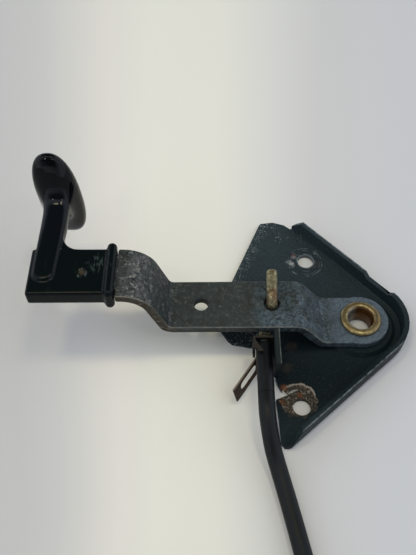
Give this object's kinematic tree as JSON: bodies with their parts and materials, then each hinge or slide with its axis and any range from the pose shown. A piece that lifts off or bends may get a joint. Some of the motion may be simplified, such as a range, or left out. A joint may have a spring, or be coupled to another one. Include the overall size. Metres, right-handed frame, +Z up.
{
  "type": "hood release lever",
  "caption": "Bent steel lever with a moulded T-grip on a flanged bracket, pulling a sheathed cable through a bent rod to release a hood latch.",
  "frame": {"origin": "on the bracket's underside, midway between its two bolt holes", "axes": "+Z up out of the bracket along the rivet's axis, the lever runs out along -X, the grip's stalk points along +Y"},
  "size_m": [0.1846, 0.2787, 0.0697],
  "materials": {
    "bracket_paint": "black paint, scuffed, with rust at its torn edges",
    "bar_steel": "dull grey zinc, stained",
    "grip_moulding": "glossy black",
    "rivet_zinc": "yellow zinc",
    "rod_zinc": "dull yellow zinc with rust",
    "wire_steel": "bare wire",
    "sheath_vinyl": "black vinyl, half gloss",
    "holder_steel": "thin grey-brown sheet",
    "spring_steel": "rusty spring steel",
    "ferrule_zinc": "bright zinc",
    "tie_nylon": "black nylon"
  },
  "bodies": {
    "root": {"bracket_plate": "bracket_paint", "pivot_rivet": "rivet_zinc", "sheath_holder": "holder_steel", "anchor_spring": "spring_steel", "sheath_end": "sheath_vinyl", "cable_sheath": "sheath_vinyl", "cable_coil": "sheath_vinyl", "coil_tie": "tie_nylon", "cable_tail": "sheath_vinyl", "end_ferrule": "ferrule_zinc", "end_wire": "wire_steel", "end_nipple": "wire_steel"},
    "lever": {"lever_arm": "bar_steel", "grip": "grip_moulding"},
    "rod": {"cable_rod": "rod_zinc", "inner_wire": "wire_steel"}
  },
  "joints": [
    {"name": "lever_pivot", "type": "hinge", "parent": "root", "child": "lever", "pos_m": [0.0258, 0.0013, 0.0062], "axis": [0, 0, -1], "range_deg": [0, 25]},
    {"name": "rod_swivel", "type": "hinge", "parent": "lever", "child": "rod", "pos_m": [-0.0161, 0.0013, 0.0199], "axis": [0, 0, -1], "range_deg": [-19, 0]}
  ],
  "couplings": [
    {"joint": "rod_swivel", "follows": "lever_pivot", "ratio": -0.75}
  ]
}
